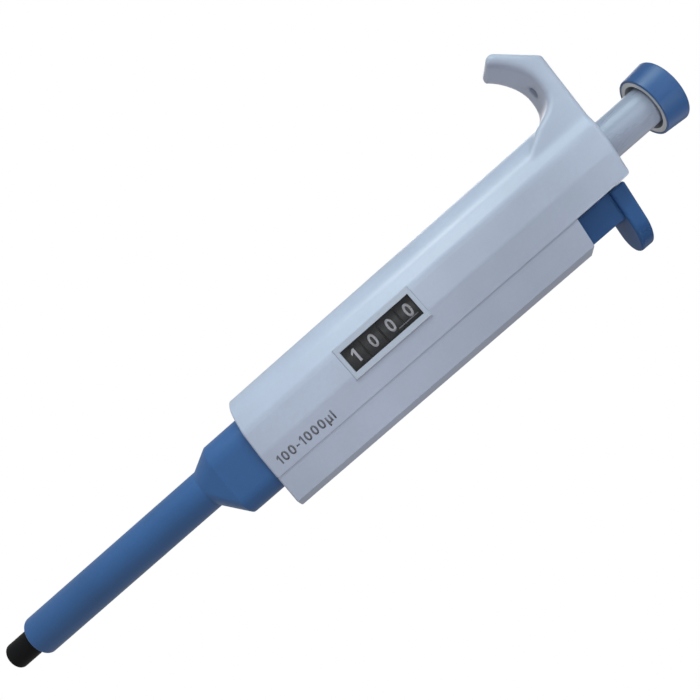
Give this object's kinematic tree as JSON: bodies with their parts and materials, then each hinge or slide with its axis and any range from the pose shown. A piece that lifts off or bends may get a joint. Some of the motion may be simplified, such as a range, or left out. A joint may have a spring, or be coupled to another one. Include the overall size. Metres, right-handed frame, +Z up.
{
  "type": "adjustable pipette",
  "caption": "Single-channel air-displacement pipette with finger hook, volume-setting push button, number-wheel counter, two-stage plunger and spring-return tip ejector.",
  "frame": {"origin": "centre of the nose's lower end, where the air passage opens", "axes": "+Z up along the pipette's axis from the nose to the push button; -X towards the finger hook; +X towards the tip-ejector spine; -Y out of the number window"},
  "size_m": [0.0647, 0.0218, 0.2382],
  "materials": {
    "handle_plastic": "fine satin, moulded",
    "bezel_plastic": "smooth satin",
    "lens_clear": "clear, polished",
    "button_blue": "semi-gloss, moulded",
    "ejector_blue": "satin, moulded",
    "ring_grey": "satin",
    "rod_white": "smooth satin",
    "nose_black": "satin, glass-filled",
    "wheel_black": "semi-gloss",
    "inner_plastic": "satin",
    "steel": "turned",
    "spring_steel": "drawn wire",
    "aluminium": "turned, anodised",
    "piston_white": "polished",
    "seal_rubber": "moulded"
  },
  "bodies": {
    "handle": {"handle_shell": "handle_plastic", "spine_cover": "handle_plastic", "calibration_plug": "bezel_plastic", "window_bezel": "bezel_plastic", "window_lens": "lens_clear", "counter_frame": "inner_plastic", "counter_plate": "inner_plastic", "stop_nut": "aluminium", "return_spring": "spring_steel", "tip_cone": "nose_black", "barrel_nut": "aluminium", "piston_seal": "seal_rubber", "seal_retainer": "inner_plastic", "ejector_guide": "inner_plastic", "ejector_spring": "spring_steel"},
    "stop_carriage": {"stop_washer": "steel", "blowout_spring": "spring_steel"},
    "plunger": {"spring_cap": "steel", "piston": "piston_white", "piston_coupling": "steel"},
    "push_button": {"push_button_cap": "button_blue", "push_button_ring": "ring_grey", "push_rod": "rod_white", "drive_spindle": "steel"},
    "setting_screw": {"setting_sleeve": "aluminium"},
    "units_drum": {"wheel_units": "wheel_black", "drive_bush": "inner_plastic"},
    "tens_drum": {"wheel_tens": "wheel_black"},
    "hundreds_drum": {"wheel_hundreds": "wheel_black"},
    "thousands_drum": {"wheel_thousands": "wheel_black"},
    "tip_ejector": {"ejector_button": "ejector_blue", "ejector_rod": "steel", "ejector_clip": "steel", "ejector_collar": "ejector_blue"}
  },
  "joints": [
    {"name": "first_stop_slide", "type": "slide", "parent": "handle", "child": "stop_carriage", "axis": [0, 0, -1], "range_m": [0, 0.0111], "stiffness_N_per_m": 300, "springref_m": -0.01, "deforming": ["return_spring"]},
    {"name": "blowout_slide", "type": "slide", "parent": "stop_carriage", "child": "plunger", "axis": [0, 0, -1], "range_m": [0, 0.002], "stiffness_N_per_m": 1500, "springref_m": -0.005, "deforming": ["blowout_spring"]},
    {"name": "button_turn", "type": "hinge", "parent": "plunger", "child": "push_button", "pos_m": [0, 0, 0.2], "axis": [0, 0, 1], "range_deg": [-6480, 0]},
    {"name": "setting_screw_turn", "type": "hinge", "parent": "handle", "child": "setting_screw", "pos_m": [0, 0, 0.2], "axis": [0, 0, 1], "range_deg": [-6480, 0]},
    {"name": "wheel_units_turn", "type": "hinge", "parent": "handle", "child": "units_drum", "pos_m": [0, 0, 0.2], "axis": [0, 0, 1], "range_deg": [-6480, 0]},
    {"name": "wheel_tens_turn", "type": "hinge", "parent": "handle", "child": "tens_drum", "pos_m": [0, 0, 0.2], "axis": [0, 0, 1], "range_deg": [-3240, 0]},
    {"name": "wheel_hundreds_turn", "type": "hinge", "parent": "handle", "child": "hundreds_drum", "pos_m": [0, 0, 0.2], "axis": [0, 0, 1], "range_deg": [-324, 0]},
    {"name": "wheel_thousands_turn", "type": "hinge", "parent": "handle", "child": "thousands_drum", "pos_m": [0, 0, 0.2], "axis": [0, 0, 1], "range_deg": [-32.4, 0]},
    {"name": "ejector_slide", "type": "slide", "parent": "handle", "child": "tip_ejector", "axis": [0, 0, -1], "range_m": [0, 0.0065], "stiffness_N_per_m": 250, "springref_m": -0.01, "deforming": ["ejector_spring"]}
  ],
  "couplings": [
    {"joint": "setting_screw_turn", "follows": "button_turn", "ratio": 1},
    {"joint": "wheel_units_turn", "follows": "button_turn", "ratio": 1},
    {"joint": "wheel_tens_turn", "follows": "button_turn", "ratio": 0.5},
    {"joint": "wheel_hundreds_turn", "follows": "button_turn", "ratio": 0.05},
    {"joint": "wheel_thousands_turn", "follows": "button_turn", "ratio": 0.005}
  ]
}
